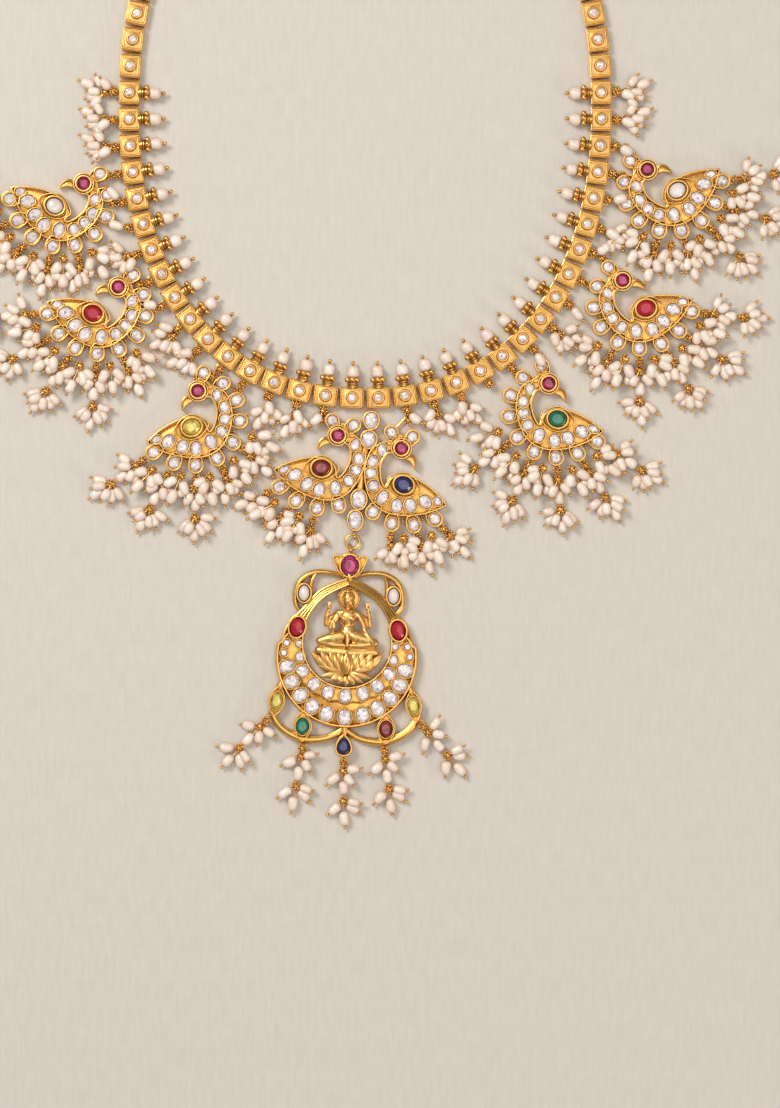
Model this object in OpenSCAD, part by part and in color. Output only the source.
// A folk gold necklace of square collar links, peacock plaques and a large pendant,
// set with glass and foil-backed stones and hung with bunches of rice pearls.
// It lies flat: the surface it rests on is z = 0, the wearer's throat side is +Y up the sheet.

/* [Collar] */
// Half of the collar loop's width, to the middle of the links
loop_half_w = 66; // [62:0.5:72]
// Half of the collar loop's length, to the middle of the links
loop_half_l = 81.6; // [78:0.5:88]
// How square the loop lies, where 2 is a plain ellipse
loop_squareness = 2.26; // [2:0.02:2.5]
// Length of one link along the collar
link_l = 6.85; // [6:0.05:7]
// Width of one link across the collar
link_w = 5.7; // [5:0.1:6]
// Height of a link's box
link_h = 2.4; // [2.2:0.1:3]
// Radius of the round setting in the middle of a link
link_collet_r = 1.65; // [1.4:0.05:1.9]
// Radius of the round pearls along the inner edge
collar_pearl_r = 1.7; // [1.4:0.05:1.8]
// Links on each side that carry a crowned pearl
crowned_links = 17; // [15:1:20]

/* [Plaques] */
// Thickness of a plaque's back plate
plate_h = 1.8; // [1.6:0.1:2.2]
// Height of the setting walls above the back plate
wall_h = 1.2; // [0.8:0.1:1.6]
// Extra height of the settings that hold a coloured stone
collet_rise = 0.6; // [0.3:0.1:1]
// Metal left round a stone
rim = 0.5; // [0.4:0.05:0.6]
// Radius of an eye stone
eye_r = 1.82; // [1.6:0.02:1.9]

/* [Pendant] */
// Radius of the pendant's round body
body_r = 19.5; // [19:0.1:20]
// Radius of the opening behind the figure
opening_r = 12.1; // [11.8:0.1:12.4]
// Half width of the scroll bars
scroll_r = 0.75; // [0.6:0.05:1]

/* [Pearl bunches] */
// Length of a rice pearl
pearl_l = 4.4; // [3.8:0.1:4.6]
// Radius of a rice pearl
pearl_r = 1.35; // [1.2:0.05:1.4]
// Radius of the small linking rings, to the middle of the wire
ring_r = 0.95; // [0.9:0.01:1]
// Radius of the rings' wire
wire_r = 0.22; // [0.2:0.01:0.24]

/* [Hidden] */

// Where the loop's centre lies from the origin, so that the whole necklace is centred on it
centre_x = -0.1;
centre_y = 58.9;
gold = "goldenrod";
pearl = "seashell";
gap = 0.06;                 // between a stone and its setting
bore_r = 0.5;               // thread holes
thread_r = 0.22;
thread_z = 1.2;
positions = 64;             // places along the loop, of which the clasp takes two
loop_steps = 720;
ring_z = 1.2;               // height of every linking ring's middle
ring_step = 1.1;            // from one ring's middle to the next ring's
link_loop_x = link_w / 2 + 0.75;
top_z = plate_h + wall_h;

function power(v, e) = sign(v) * pow(abs(v), e);
function loop_at(a) = [loop_half_w * power(cos(a), 2 / loop_squareness),
    loop_half_l * power(sin(a), 2 / loop_squareness)];
function loop_normal(p) = atan2(power(p[1] / loop_half_l, loop_squareness - 1) / loop_half_l,
    power(p[0] / loop_half_w, loop_squareness - 1) / loop_half_w);
// Length walked from the loop's lowest point, against the angle reached
walked = [for (i = 0, s = 0; i <= loop_steps;
    s = s + norm(loop_at(-90 + (i + 1) * 360 / loop_steps) - loop_at(-90 + i * 360 / loop_steps)),
    i = i + 1) [s, -90 + i * 360 / loop_steps]];
loop_len = walked[loop_steps][0];
pitch = loop_len / positions;
function link_point(k) = loop_at(lookup((k + 0.5) * pitch, walked));
function turned(p, a) = [p[0] * cos(a) - p[1] * sin(a), p[0] * sin(a) + p[1] * cos(a)];
// A point given outward along link k's own axis, on the right (1) or the left (-1) half
function link_world(k, out, side) =
    let (p = link_point(k), q = p + turned([out, 0], loop_normal(p)))
    [side * q[0] + centre_x, q[1] + centre_y];

// A smooth line through a few points
function curve_piece(a, b, c, d, t) = 0.5 * (2 * b + (c - a) * t
    + (2 * a - 5 * b + 4 * c - d) * t * t + (3 * b - a - 3 * c + d) * t * t * t);
function curve(points, steps = 3) = let (n = len(points)) [for (i = [0 : n - 2]) for (s = [0 : steps - 1])
    curve_piece(points[max(i - 1, 0)], points[i], points[i + 1], points[min(i + 2, n - 1)], s / steps),
    points[n - 1]];

// Stones of one peacock, its eye at the origin: x, y, half width, half length, turn of the length
neck_stones = [
    [-5.21, -1.48, 1.2, 1.7, 100], [-7.17, -5.01, 1.4, 1.6, 80], [-7.08, -8.34, 1.4, 1.55, 0],
    [-5.8, -11.7, 1.4, 1.5, 45], [-2.66, -14.45, 1.45, 1.95, 68], [1.68, -16.02, 1.5, 1.9, 92],
    [5.4, -15.23, 1.5, 1.9, 115], [9.32, -13.47, 1.5, 1.95, 140]];
crest_stones = [[-1.88, 5.01, 1.3, 1.4, 115], [-7.17, 1.68, 1.3, 1.4, 155]];
petal_stones = [[-10.61, -3.25, 1.35, 1.5, 158], [-11.12, -9.13, 1.35, 1.5, 185],
    [-8.74, -15.04, 1.35, 1.5, 216], [-4.03, -19.15, 1.35, 1.5, 246], [2.07, -20.72, 1.35, 1.5, 275],
    [8.15, -19.54, 1.35, 1.5, 302], [13.66, -16.21, 1.35, 1.5, 327]];
pair_crest_stones = [[2.5, 3.7, 1.3, 1.4, 60], [-3.6, 3.8, 1.3, 1.4, 130]];
pair_petal_stones = [[-4.6, -19, 1.35, 1.5, 248], [1.2, -21.2, 1.35, 1.5, 273],
    [7.3, -20.5, 1.35, 1.5, 298], [12.8, -17.7, 1.35, 1.5, 322]];
belly_stone = [2.46, -9.91, 2.3, 2.65, 170];
body_back = [[-1.8, 2.3], [-7.6, -0.9], [-9.1, -6.97], [-7.56, -12.9], [-5.01, -16.4], [-0.7, -18.4],
    [4.8, -18.2], [10.5, -16.4], [15.2, -13.4]];
body_front = [[15.2, -13.1], [11.2, -10.1], [6.8, -8.0], [2.06, -6.9], [-1.1, -8.7], [-2.3, -11.5],
    [-3.84, -9.9], [-4.82, -5.8], [-3.6, -2.2], [-1.8, -1.8]];
beak = [[1.5, -2.4], [3.4, -1.2], [4.7, -3], [4.6, -5.1], [3.4, -3.4]];

// Peacocks: side, eye x and y from the loop's centre, turn, then for both arms the link it hangs from
birds = [
    [-1, -78.6, -21.8, -38.3, 12, 13], [-1, -68.9, -50.7, -29.6, 8, 9], [-1, -46.7, -79.7, 4, 4, 5],
    [1, 78.7, -17.9, 41.3, 13, 14], [1, 71.8, -48.8, 25.8, 9, 10], [1, 51.2, -77.6, 0, 5, 6]];
pair_birds = [[-1, -7.6, -92.1, -13.1], [1, 10.1, -95.7, -10.5]];
arm_ends = [[-7.17, 1.68], [-1.88, 5.01]];
pair_arms = [[-1, 1, -1, [2.5, 3.7]], [1, 1, 1, [-3.6, 3.8]]]; // bird side, link, link side, end on the bird
function bird_world(b, p) = let (q = turned([b[0] * p[0], p[1]], b[3]))
    [q[0] + b[1] + centre_x, q[1] + b[2] + centre_y];

// Pearl bunches of each peacock, in the order of birds: petal, tiers, fan, swing on its ring
bird_bunches = [
    [[2, 1, 3, 10], [3, 1, 2, 0], [4, 1, 0, 4], [5, 2, 1, 0], [6, 2, 2, 0]],
    [[2, 1, 1, 0], [3, 2, 2, 0], [4, 2, 0, 0], [5, 2, 1, 0], [6, 2, 2, 0]],
    [[2, 1, 1, 12], [3, 1, 3, 8], [4, 2, 0, 0], [5, 2, 1, 0], [6, 2, 2, 0]],
    [[2, 1, 1, 0], [3, 1, 2, 0], [4, 2, 0, 0], [5, 2, 1, 0], [6, 2, 2, 0]],
    [[2, 1, 1, 1], [3, 2, 2, -1], [4, 2, 0, 1], [5, 2, 1, -1], [6, 2, 2, 1]],
    [[2, 2, 1, 0], [3, 2, 2, 0], [4, 2, 0, 0], [5, 2, 1, 0], [6, 2, 2, 0]]];
pair_bunches = [[[1, 1, 0, 1], [2, 1, 1, -5], [3, 1, 3, -17]], [[1, 1, 3, 13], [2, 1, 1, 5], [3, 1, 2, 1]]];
// Pins of a fan: angle, wire before the pearl
fans = [[[-36, 1.3], [2, 4.1], [38, 1.3]], [[-38, 1.3], [-2, 4.2], [34, 1.4]],
    [[-34, 1.3], [0, 4.2], [40, 1.3]], [[-18, 1.3], [24, 3.4]]];
side_fans = [[[-52, 1.3]], [[-54, 1.4]], [[-50, 1.3]], [[54, 1.3]]];
end_fans = [[[-50, 1.3], [2, 2.7], [48, 1.3]], [[-46, 1.4], [0, 3], [50, 1.3]],
    [[-48, 1.3], [4, 2.8], [54, 1.3]], [[-52, 1.3], [-2, 2.8], [48, 1.3]]];

// Pendant, its top stone at the origin, then placed by its own centre and turn
pendant_at = [-4.3, -128.5];
pendant_turn = -2;
body_y = -25.5;
opening_y = -21.6;
outer_row_r = 16.8;
inner_row_r = 14.85;
outer_row = [0, 17.5, 33, 48.7, 64, 79];
inner_row = [0, 19.4, 37, 55.7];
small_stones = [[16.9, -22.1, 0.95, 1.05], [13.5, -22.2, 0.95, 1.05], [17.6, -24.9, 0.95, 1.05],
    [13.1, -25.9, 1.3, 1.45]];
opening_side = [[0, -5.2], [7.3, -9.3], [11.2, -14.9], [12, -20]];
arch_side = [[0, -3.4], [7.6, -6.8], [12.6, -12.2], [17.2, -17.6], [18.6, -22]];
scroll_top = [[2, -2.9], [6, -2.0], [10, -2.2], [13.4, -4.2], [14.9, -7.5], [14.8, -11], [13.4, -13.4]];
scroll_curl = [[9.4, -2.3], [10.4, -4.3], [10.6, -6.6], [10.4, -9.6]];
lobe = [[20.6, -40.8], [19.3, -43.8], [16.6, -46.6], [12.4, -48.6], [8.5, -48.9], [4, -48], [0, -45.6]];
leaf_wing = [[1.5, -3.4], [3.4, -1.4], [4.8, 2.4], [2.2, 2.2]];
// Coloured stones: x, y, half width, half length, turn of the length
top_stone_at = [0, 0, 2.5, 2.9, 90];
moon_stone_at = [12.5, -8.07, 1.7, 2.4, 90];
side_stone_at = [14.1, -17.6, 2.1, 2.8, 102];
leaf_stone_at = [19.1, -38.4, 1.7, 2.5, 100];
lobe_stone_at = [11.65, -45.2, 1.95, 2.45, 90];
tip_stone_at = [0, -50.3, 1.8, 2.4, 90];
// Pearl drops of the pendant: loop x, y, direction, fan
drops = [[-21.4, -43.5, 228, 0], [-11.4, -50.6, 262, 1], [0, -54.3, 272, 2], [11.4, -50.6, 278, 0],
    [21.4, -43.5, 312, 1]];

function pendant_world(p) = let (q = turned(p, pendant_turn))
    [q[0] + pendant_at[0] + centre_x, q[1] + pendant_at[1] + centre_y];

// Basic pieces

module torus(r, w) {
    rotate_extrude($fn = 36) translate([r, 0]) circle(w, $fn = 16);
}

module flat_ring(p, r = ring_r, w = wire_r, z = ring_z) {
    translate([p[0], p[1], z]) torus(r, w);
}

module upright_ring(p, a, r = ring_r, w = wire_r, z = ring_z) {
    translate([p[0], p[1], z]) rotate([90, 0, a]) rotate(70) torus(r, w);
}

module rod(a, b, r, z = ring_z) {
    d = b - a;
    translate([a[0], a[1], z]) rotate([0, 90, atan2(d[1], d[0])]) cylinder(h = norm(d), r = r, $fn = 24);
}

module stone_shape(s, grow = 0, sides = 14) {
    translate([s[0], s[1]]) rotate(s[4]) scale([s[3] + grow, s[2] + grow]) circle(1, $fn = sides);
}

module stone_prism(s, grow, from, to) {
    translate([0, 0, from]) linear_extrude(to - from) stone_shape(s, grow, 48);
}

module line(points, r) {
    offset(r = r, $fn = 8) polygon(concat(points,
        [for (i = [len(points) - 1 : -1 : 0]) points[i] + [0.01, 0.01]]));
}

// A closed stack of rings, each given as [scale, z], over one outline
function ring_points(outline, rings) = [for (g = rings) for (p = outline) [p[0] * g[0], p[1] * g[0], g[1]]];
function ring_faces(n, m) = concat([[for (i = [n - 1 : -1 : 0]) i]],
    [for (g = [0 : m - 2]) for (i = [0 : n - 1])
        [g * n + i, g * n + (i + 1) % n, (g + 1) * n + (i + 1) % n, (g + 1) * n + i]],
    [[for (i = [0 : n - 1]) (m - 1) * n + i]]);
function egg(rx, ry, n, taper) = [for (i = [0 : n - 1]) let (a = i * 360 / n)
    [rx * cos(a), ry * sin(a) * (1 + taper * cos(a))]];

module cut_stone(s, z, h, n = 10, taper = 0) {
    rings = [[0.72, 0], [1, 0.45 * h], [0.97, 0.6 * h], [0.58, h]];
    translate([s[0], s[1], z]) rotate(s[4])
        polyhedron(ring_points(egg(s[3] - gap, s[2] - gap, n, taper), rings), ring_faces(n, 4));
}

module cabochon(s, z, h, n = 14) {
    rings = [[0.95, 0], [1, 0.3 * h], [0.86, 0.68 * h], [0.58, 0.9 * h], [0.2, h]];
    translate([s[0], s[1], z]) rotate(s[4])
        polyhedron(ring_points(egg(s[3] - gap, s[2] - gap, n, 0), rings), ring_faces(n, 5));
}

// Collar

module at_link(k) {
    p = link_point(k);
    translate([p[0], p[1], 0]) rotate(loop_normal(p)) children();
}

module half(side) {
    translate([centre_x, centre_y, 0]) {
        if (side > 0) children();
        else mirror([1, 0, 0]) children();
    }
}

crown_z = 2;
crown_start = link_w / 2;
crown_pearl_x = 7.3;
crown_tip_x = 10;

module crown() {
    translate([-crown_start + 0.4, 0, crown_z]) rotate([0, -90, 0]) rotate_extrude($fn = 36) polygon([
        [0, 0], [1.15, 0], [1.15, 1.5], [1.5, 1.75], [1.95, 2.2], [1.95, 2.75], [1.55, 3.05], [0.3, 3.05],
        [0.3, crown_tip_x - crown_start - 0.1], [0, crown_tip_x - crown_start - 0.1]]);
    translate([-crown_tip_x, 0, crown_z]) sphere(0.62, $fn = 24);
}

module link(crowned, looped) {
    difference() {
        union() {
            translate([-link_w / 2, -link_l / 2, 0]) cube([link_w, link_l, link_h]);
            translate([-2.3, -2.3, link_h - 0.1]) cube([4.6, 4.6, 0.5]);
            translate([0, 0, link_h]) cylinder(h = 1.2, r = link_collet_r, $fn = 32);
            if (crowned) crown();
            if (looped) flat_ring([link_loop_x, 0]);
        }
        translate([0, link_l / 2 + 1, thread_z]) rotate([90, 0, 0])
            cylinder(h = link_l + 2, r = bore_r, $fn = 24);
        translate([0, 0, link_h + 0.7]) cylinder(h = 1, r = link_collet_r - 0.4, $fn = 32);
    }
}

// The middle link of the collar has no loop, because the double plaque lies against it
module collar_links(side) {
    color(gold) half(side) for (k = [0 : positions / 2 - 2]) at_link(k) link(k < crowned_links,
        k > 0 && k < crowned_links);
}

module collar_pearls(side) {
    color(pearl) half(side) for (k = [0 : crowned_links - 1]) at_link(k)
        translate([-crown_pearl_x, 0, crown_z]) rotate([0, 90, 0]) rotate_extrude($fn = 36)
            polygon([for (a = [-75 : 15 : 75]) collar_pearl_r * [cos(a), sin(a)]]);
}

thread_rings = 66;
thread_sides = 6;
thread_end = 0.6 * pitch;   // from the loop's highest point, inside the clasp

module collar_thread() {
    first = thread_end - loop_len / 2;
    step = (loop_len - 2 * thread_end) / (thread_rings - 1);
    points = [for (i = [0 : thread_rings - 1])
        let (s = first + i * step, p = loop_at(lookup(s < 0 ? s + loop_len : s, walked)), a = loop_normal(p))
        for (j = [0 : thread_sides - 1]) let (b = j * 360 / thread_sides)
            [p[0] + thread_r * cos(b) * cos(a), p[1] + thread_r * cos(b) * sin(a), thread_z - thread_r * sin(b)]];
    color("khaki") translate([centre_x, centre_y, 0]) polyhedron(points, ring_faces(thread_sides, thread_rings));
}

clasp_l = 2 * pitch - 0.6;
clasp_w = 6.4;
clasp_h = 3.2;

module clasp() {
    color(gold) translate([centre_x, centre_y + loop_half_l, 0]) difference() {
        union() {
            translate([-clasp_l / 2, -clasp_w / 2, 0]) cube([clasp_l, clasp_w, clasp_h]);
            translate([-clasp_l / 2 + 0.8, -clasp_w / 2 + 0.8, clasp_h - 0.1])
                cube([clasp_l - 1.6, clasp_w - 1.6, 0.5]);
        }
        for (s = [-1, 1]) translate([s * clasp_l / 2, 0, thread_z]) rotate([0, 90, 0])
            cylinder(h = 9, r = bore_r + 0.3, center = true, $fn = 24);
    }
}

// Peacock plaques

module at_bird(b) {
    translate([b[1] + centre_x, b[2] + centre_y, 0]) rotate(b[3]) {
        if (b[0] > 0) children();
        else mirror([1, 0, 0]) children();
    }
}

eye_stone = [0, 0, eye_r, eye_r, 0];

module bird_outline(crest, petals) {
    circle(3, $fn = 24);
    polygon(concat(curve(body_back), curve(body_front)));
    polygon(beak);
    for (s = concat(crest, petals)) {
        stone_shape(s, 0.85);
        translate([s[0], s[1]]) rotate(s[4]) translate([-3.6, -1.1]) square([3.6, 2.2]);
    }
    stone_shape(belly_stone, 0.8);
}

// A plate cut to the outline given as a child, with raised settings and a pocket for each stone
module plaque(small, large) {
    difference() {
        union() {
            linear_extrude(top_z) offset(delta = 0) children();
            for (s = large) stone_prism(s, rim, 0.4, top_z + collet_rise);
        }
        for (s = concat(small, large)) stone_prism(s, 0, plate_h, top_z + 2);
    }
}

function petal_loop(s) = [s[0] + 3.05 * cos(s[4]), s[1] + 3.05 * sin(s[4])];

// Where a bunch or an arm takes hold of link k's loop
function hold(k, side) = link_world(k, link_loop_x + ring_step, side);
function hold_turn(k, side) = let (a = loop_normal(link_point(k))) side > 0 ? a : 180 - a;

module arm(k, side, end) {
    start = hold(k, side);
    a = hold_turn(k, side);
    upright_ring(start, a);
    rod(start + ring_r * [cos(a), sin(a)], end, 0.4);
}

module peacock(n) {
    b = birds[n];
    color(gold) {
        at_bird(b) {
            plaque(concat(neck_stones, crest_stones, petal_stones), [eye_stone, belly_stone])
                bird_outline(crest_stones, petal_stones);
            for (h = bird_bunches[n]) flat_ring(petal_loop(petal_stones[h[0]]));
        }
        for (i = [0, 1]) arm(b[4 + i], b[0], bird_world(b, arm_ends[i]));
    }
}

// The double plaque: two peacocks back to back, with four stones between them
pair_centre_stones = [[1.7, -87.9, 1.9, 2.3, 90], [1, -93.2, 2, 2.3, 90], [-1.8, -110, 2, 2.6, 90],
    [-2.8, -115.8, 1.9, 2.6, 90]];
pair_bridge = [[1, -92], [-0.2, -97], [-0.9, -102], [-1.6, -108], [-2.4, -114]];
pair_loop = [-3, -119.9];

module pair_outline() {
    for (b = pair_birds) translate([b[1], b[2]]) rotate(b[3]) mirror([b[0] > 0 ? 0 : 1, 0])
        bird_outline(pair_crest_stones, pair_petal_stones);
    for (s = pair_centre_stones) stone_shape(s, 0.8);
    line(curve(pair_bridge, 3), 1.6);
}

// A bird's stone as it lies in the double plaque
function in_pair(b, s) = let (q = turned([b[0] * s[0], s[1]], b[3]))
    [q[0] + b[1], q[1] + b[2], s[2], s[3], b[3] + (b[0] > 0 ? s[4] : 180 - s[4])];
pair_small = concat(pair_centre_stones,
    [for (b = pair_birds) for (s = concat(neck_stones, pair_crest_stones, pair_petal_stones)) in_pair(b, s)]);
pair_large = [for (b = pair_birds) for (s = [eye_stone, belly_stone]) in_pair(b, s)];

module peacock_pair() {
    color(gold) {
        translate([centre_x, centre_y, 0]) {
            plaque(pair_small, pair_large) pair_outline();
            rod([pair_loop[0], -116], pair_loop + [0, ring_r], 0.5);
            upright_ring(pair_loop, 90, 1.1, 0.3, 1.5);
        }
        for (b = pair_birds) at_bird(b) for (i = [1 : 3]) flat_ring(petal_loop(pair_petal_stones[i]));
        for (a = pair_arms) arm(a[1], a[2], bird_world(pair_birds[a[0] > 0 ? 1 : 0], a[3]));
    }
}

module eye(b) {
    color("mediumvioletred") at_bird(b) cut_stone(eye_stone, plate_h + 0.3, wall_h + 0.4, 12);
}

module belly(b, tint) {
    color(tint) at_bird(b) cut_stone(belly_stone, plate_h + 0.3, wall_h + 0.5, 12);
}

module milky_belly(b) {
    color("mistyrose") at_bird(b) cabochon(belly_stone, plate_h + 0.3, wall_h + 0.9);
}

// Pearl bunches

knot_x = 2;
knot_r = 1.05;
pin_z = 0.2;
pin_ball_r = 0.5;
strand_reach = 2.8;         // wire between the first knot and the pearl that carries the second
knot_gap = 1.2;             // from that pearl's end to the second knot's middle

// Half outline of a wired rice pearl along its pin, which starts reach away from the knot
function pearl_profile(reach) = [for (g = [[0.35, 0], [0.88, 0.13], [1, 0.38], [0.97, 0.72], [0.4, 1]])
    [g[0] * pearl_r, reach + g[1] * pearl_l]];

module pin(reach, ball = true) {
    end = reach + pearl_l;
    tip = ball ? [[wire_r, end + 0.15], [pin_ball_r, end + 0.4], [pin_ball_r, end + 0.8], [0, end + 1.1]]
        : [[wire_r, end + 0.6], [0, end + 0.6]];
    rotate([0, 90, 0]) rotate_extrude($fn = 24)
        polygon(concat([[0, 0.75], [wire_r, 0.75], [wire_r, reach]], pearl_profile(reach), tip));
}

module fan_of_pins(f) {
    rotate(115) sphere(knot_r, $fn = 24);
    for (p = f) rotate(p[0]) pin(p[1]);
}

// One knot, or a second one hung from the first by a wired pearl
module bunch(tiers, fan) {
    upright_ring([0, 0], 0, z = 0);
    translate([knot_x, 0, pin_z]) {
        if (tiers == 1) fan_of_pins(fans[fan]);
        else {
            fan_of_pins(side_fans[fan]);
            pin(strand_reach, false);
            translate([strand_reach + pearl_l + knot_gap, 0, 0]) fan_of_pins(end_fans[fan]);
        }
    }
}

module hung_bunch(p, a, tiers, fan) {
    translate([p[0] + ring_step * cos(a), p[1] + ring_step * sin(a), ring_z]) rotate(a) bunch(tiers, fan);
}

module bird_bunch(b, petals, rows) {
    color(pearl) at_bird(b) for (h = rows) let (s = petals[h[0]])
        hung_bunch(petal_loop(s), s[4] + h[3], h[1], h[2]);
}

module bunches(i) {
    bird_bunch(birds[i], petal_stones, bird_bunches[i]);
}

module bunches_pair() {
    for (i = [0, 1]) bird_bunch(pair_birds[i], pair_petal_stones, pair_bunches[i]);
}

module bunches_pendant() {
    color(pearl) translate([pendant_at[0] + centre_x, pendant_at[1] + centre_y, 0]) rotate(pendant_turn)
        for (d = drops) hung_bunch([d[0], d[1]], d[2], 2, d[3]);
}

// Small bunches on the collar's outer edge, left then right: link, fan, swing
collar_bunches = [[[2, 3, -8], [3, 3, -16], [6, 3, 0], [7, 3, -12], [10, 3, 8], [14, 3, 4], [15, 3, 0],
    [16, 3, 0]], [[2, 3, 0], [3, 3, -4], [7, 3, 0], [11, 3, -16], [15, 3, 0], [16, 3, 0]]];

module bunches_collar(side) {
    color(pearl) half(side) for (b = collar_bunches[side > 0 ? 1 : 0]) at_link(b[0])
        hung_bunch([link_loop_x, 0], b[2], 1, b[1]);
}

// Pendant

module at_pendant() {
    translate([pendant_at[0] + centre_x, pendant_at[1] + centre_y, 0]) rotate(pendant_turn) children();
}

module both_sides() {
    children();
    mirror([1, 0]) children();
}

module pendant_outline() {
    difference() {
        union() {
            translate([0, body_y]) circle(body_r, $fn = 64);
            both_sides() polygon(concat(curve(arch_side), [[0, -22]]));
        }
        translate([0, opening_y]) circle(opening_r, $fn = 48);
        both_sides() polygon(concat(curve(opening_side), [[0, -20]]));
    }
    both_sides() {
        line(curve(scroll_top), scroll_r);
        line(curve(scroll_curl), scroll_r);
        line(curve(lobe), 0.95);
        polygon(leaf_wing);
        stone_shape(moon_stone_at, 0.6);
        stone_shape(side_stone_at, 0.7);
        stone_shape(leaf_stone_at, 0.7);
        stone_shape(lobe_stone_at, 0.7);
        line([[18.6, -35.8], [17.6, -33.6]], 1.4);
        line([[11.6, -43.4], [12, -40]], 0.9);
    }
    stone_shape(top_stone_at, 0.75);
    stone_shape(tip_stone_at, 0.7);
    line([[0, -44], [0, -48.6]], 1);
    line([[0, -2], [0, -3.2]], 1.6);
}

function row_stones(angles, r, y, w, l) = [for (a = angles) for (s = (a == 0 ? [1] : [-1, 1]))
    [s * r * sin(a), y - r * cos(a), w, l, -90 + s * a]];
white_stones = concat(row_stones(outer_row, outer_row_r, body_y, 1.65, 2.05),
    row_stones(inner_row, inner_row_r, opening_y, 1.5, 1.9),
    [for (p = small_stones) for (s = [-1, 1]) [s * p[0], p[1], p[2], p[3], 90]]);
function mirrored(s) = [-s[0], s[1], s[2], s[3], 180 - s[4]];
coloured = concat([top_stone_at, tip_stone_at],
    [for (s = [moon_stone_at, side_stone_at, leaf_stone_at, lobe_stone_at]) for (m = [s, mirrored(s)]) m]);

module pendant_frame() {
    color(gold) at_pendant() {
        plaque(white_stones, coloured) pendant_outline();
        for (d = drops) flat_ring([d[0], d[1]]);
        rod([0, 3.2], [0, 4.1], 0.6, 1.5);
        upright_ring([0, 4.9], 90, 1.1, 0.3, 1.5);
    }
}

module pendant_ring() {
    a = [centre_x + pair_loop[0], centre_y + pair_loop[1]];
    b = pendant_world([0, 4.9]);
    color(gold) flat_ring((a + b) / 2, norm(a - b) / 2, 0.35, 1.5);
}

module pendant_stone(s, tint, domed = false) {
    color(tint) at_pendant() {
        if (domed) cabochon(s, plate_h + 0.3, wall_h + 0.9);
        else cut_stone(s, plate_h + 0.3, wall_h + 0.5, 12);
    }
}

module tip_stone() {
    color("midnightblue") at_pendant() cut_stone(tip_stone_at, plate_h + 0.3, wall_h + 0.5, 12, -0.3);
}

module pendant_white_stones() {
    color("lavender") at_pendant() for (s = white_stones) cut_stone(s, plate_h + 0.1, wall_h + 0.3, 8);
}

// A seated figure on a lotus, cast in relief: limbs are rounded bars between two balls

module ball(p, r) {
    translate(p) sphere(r, $fn = 8);
}

module limb(a, b, ra, rb) {
    hull() {
        ball(a, ra);
        ball(b, rb);
    }
}

module petal(x, y, a, l, w, z) {
    translate([x, y, z]) rotate(a) hull() {
        ball([0, 0, 0], w * 0.5);
        ball([l * 0.5, 0, 0.5], w * 0.62);
        ball([l, 0, 0.2], 0.25);
    }
}

figure_z = 2;

module seated_figure() {
    color("darkgoldenrod") at_pendant() union() {
        translate([0, -8.8, figure_z - 0.4]) cylinder(h = 1, r = 2.9, $fn = 24);
        limb([0, -8.4, figure_z + 1.2], [0, -9.6, figure_z + 1.1], 1.7, 1.4);
        limb([0, -7.5, figure_z + 1], [0, -6.9, figure_z + 0.7], 0.95, 0.45);
        limb([-2.9, -13.6, figure_z + 0.6], [2.9, -13.6, figure_z + 0.6], 1.2, 1.2);
        limb([0, -14, figure_z + 0.8], [0, -18.6, figure_z + 0.9], 2.4, 1.8);
        limb([0, -11, figure_z + 0.6], [0, -13, figure_z + 0.6], 0.9, 1.3);
        for (s = [-1, 1]) {
            limb([s * 3.2, -13.8, figure_z + 0.4], [s * 6.1, -16.8, figure_z + 0.4], 1.1, 0.85);
            limb([s * 6.1, -16.8, figure_z + 0.4], [s * 5.5, -12.2, figure_z + 1], 0.85, 0.7);
            limb([s * 5.5, -11.8, figure_z + 1], [s * 5.6, -10.2, figure_z + 1], 0.6, 0.9);
            limb([s * 3, -14.4, figure_z + 1], [s * 4.8, -18, figure_z + 1.2], 1, 0.8);
            limb([s * 7, -21, figure_z + 1], [s * 1.5, -22, figure_z + 1.6], 1.5, 1.3);
            limb([s * 2.2, -19.6, figure_z + 1], [s * 7.4, -20.8, figure_z + 1], 1.5, 1.5);
        }
        limb([-4.8, -18, figure_z + 1.2], [-3.6, -20, figure_z + 2.2], 0.8, 0.7);
        limb([4.8, -18, figure_z + 1.2], [7, -21.2, figure_z + 2.2], 0.8, 0.7);
        limb([-7.6, -24, figure_z], [7.6, -24, figure_z], 1.9, 1.9);
        limb([-5.6, -28.4, figure_z], [5.6, -28.4, figure_z], 1.8, 1.8);
        limb([-7.6, -26, figure_z - 0.2], [7.6, -26, figure_z - 0.2], 1.7, 1.7);
        for (i = [-3 : 3]) petal(i * 1.75, -29.6, 90 - i * 13, 6.6, 2.2, figure_z + 1 - abs(i) * 0.15);
        for (i = [-2 : 2]) petal(i * 0.9, -29.4, -90 + i * 36, 3.4, 2, figure_z + 1.3 - abs(i) * 0.1);
    }
}

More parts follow.
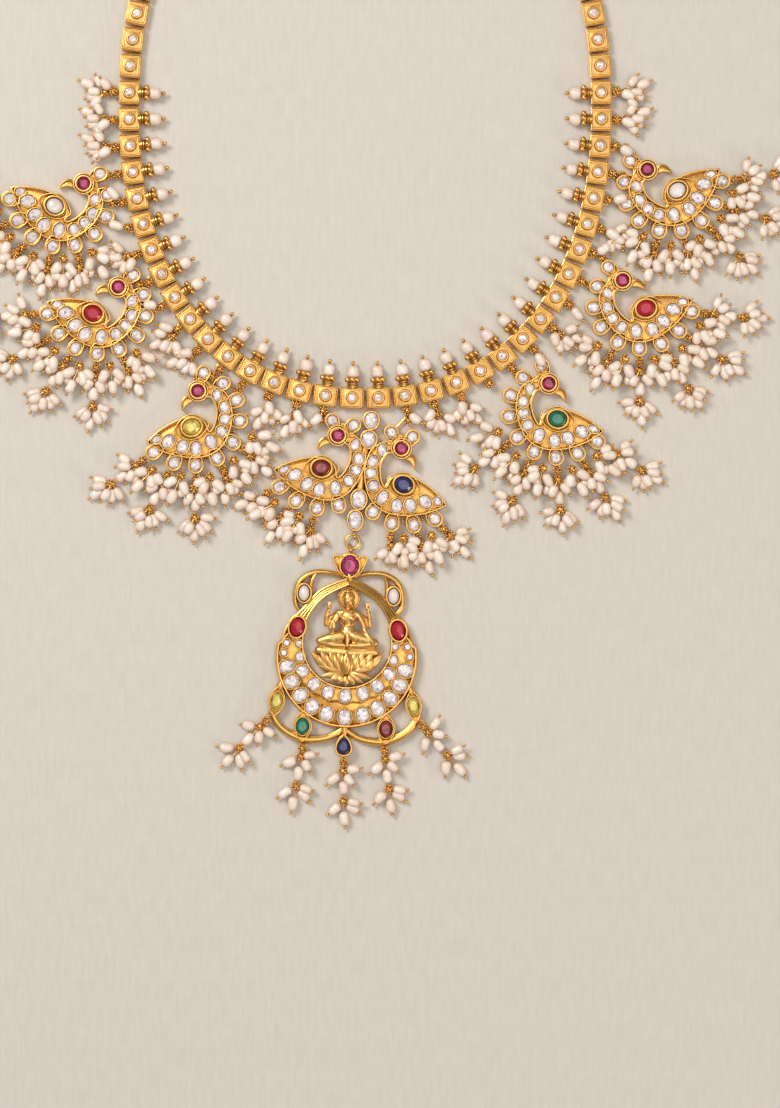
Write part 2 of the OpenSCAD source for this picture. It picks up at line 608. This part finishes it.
collar_links(-1);  // collar_links_left
collar_links(1);  // collar_links_right
collar_thread();
clasp();
collar_pearls(-1);  // collar_pearls_left
collar_pearls(1);  // collar_pearls_right
peacock(0);  // peacock_left_1
peacock(1);  // peacock_left_2
peacock(2);  // peacock_left_3
peacock(3);  // peacock_right_1
peacock(4);  // peacock_right_2
peacock(5);  // peacock_right_3
peacock_pair();
pendant_frame();
seated_figure();
pendant_ring();
eye(birds[0]);  // eye_left_1
eye(birds[1]);  // eye_left_2
eye(birds[2]);  // eye_left_3
eye(birds[3]);  // eye_right_1
eye(birds[4]);  // eye_right_2
eye(birds[5]);  // eye_right_3
eye(pair_birds[0]);  // eye_pair_left
eye(pair_birds[1]);  // eye_pair_right
milky_belly(birds[0]);  // belly_left_1
belly(birds[1], "red");  // belly_left_2
belly(birds[2], "gold");  // belly_left_3
milky_belly(birds[3]);  // belly_right_1
belly(birds[4], "red");  // belly_right_2
belly(birds[5], "seagreen");  // belly_right_3
belly(pair_birds[0], "maroon");  // belly_pair_left
belly(pair_birds[1], "midnightblue");  // belly_pair_right
pendant_stone(top_stone_at, "mediumvioletred");  // top_stone
pendant_stone(mirrored(moon_stone_at), "mistyrose", true);  // moon_stone_left
pendant_stone(moon_stone_at, "mistyrose", true);  // moon_stone_right
pendant_stone(mirrored(side_stone_at), "crimson", true);  // side_stone_left
pendant_stone(side_stone_at, "crimson", true);  // side_stone_right
pendant_stone(mirrored(leaf_stone_at), "gold");  // leaf_stone_left
pendant_stone(leaf_stone_at, "gold");  // leaf_stone_right
pendant_stone(mirrored(lobe_stone_at), "seagreen");  // lobe_stone_left
pendant_stone(lobe_stone_at, "brown");  // lobe_stone_right
tip_stone();
pendant_white_stones();
bunches(0);  // bunches_left_1
bunches(1);  // bunches_left_2
bunches(2);  // bunches_left_3
bunches(3);  // bunches_right_1
bunches(4);  // bunches_right_2
bunches(5);  // bunches_right_3
bunches_pair();
bunches_pendant();
bunches_collar(-1);  // bunches_collar_left
bunches_collar(1);  // bunches_collar_right
